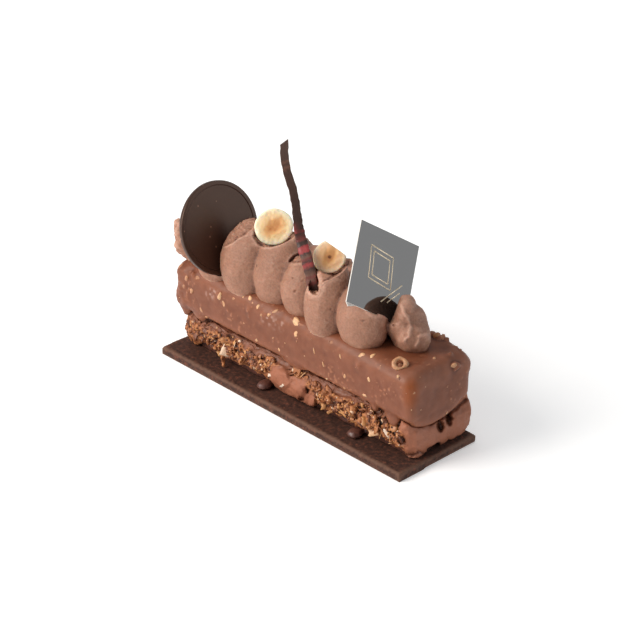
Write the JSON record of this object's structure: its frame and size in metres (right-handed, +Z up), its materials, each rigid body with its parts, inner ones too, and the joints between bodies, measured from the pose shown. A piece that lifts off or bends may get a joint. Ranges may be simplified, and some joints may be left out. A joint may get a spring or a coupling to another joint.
{
  "type": "finger mousse cake",
  "caption": "Finger-shaped glazed mousse cake on a cocoa biscuit plate, with a crunchy layer, piped cream, a chocolate disc and stick, hazelnut halves and a small card.",
  "frame": {"origin": "centre of the biscuit plate's flat underside", "axes": "+X along the cake towards its right-hand end, -Y towards the front long side, +Z up"},
  "size_m": [0.1339, 0.0503, 0.1024],
  "materials": {
    "cocoa_biscuit": "matte crumb",
    "ganache": "satin",
    "crunch": "rough wafer crumb",
    "milk_chocolate_glaze": "satin glaze with chopped nuts",
    "whipped_cream": "matte whipped ganache",
    "dark_chocolate": "satin",
    "printed_chocolate": "satin with red streaks",
    "hazelnut": "toasted nut",
    "laminated_card": "gloss"
  },
  "bodies": {
    "root": {"sable_base": "cocoa_biscuit", "ganache": "ganache", "crunch_layer": "crunch", "glazed_bar": "milk_chocolate_glaze", "piped_cream": "whipped_cream", "chocolate_disc": "dark_chocolate", "chocolate_stick": "printed_chocolate", "hazelnut_half_1": "hazelnut", "hazelnut_half_2": "hazelnut", "card_tag": "laminated_card"}
  },
  "joints": []
}
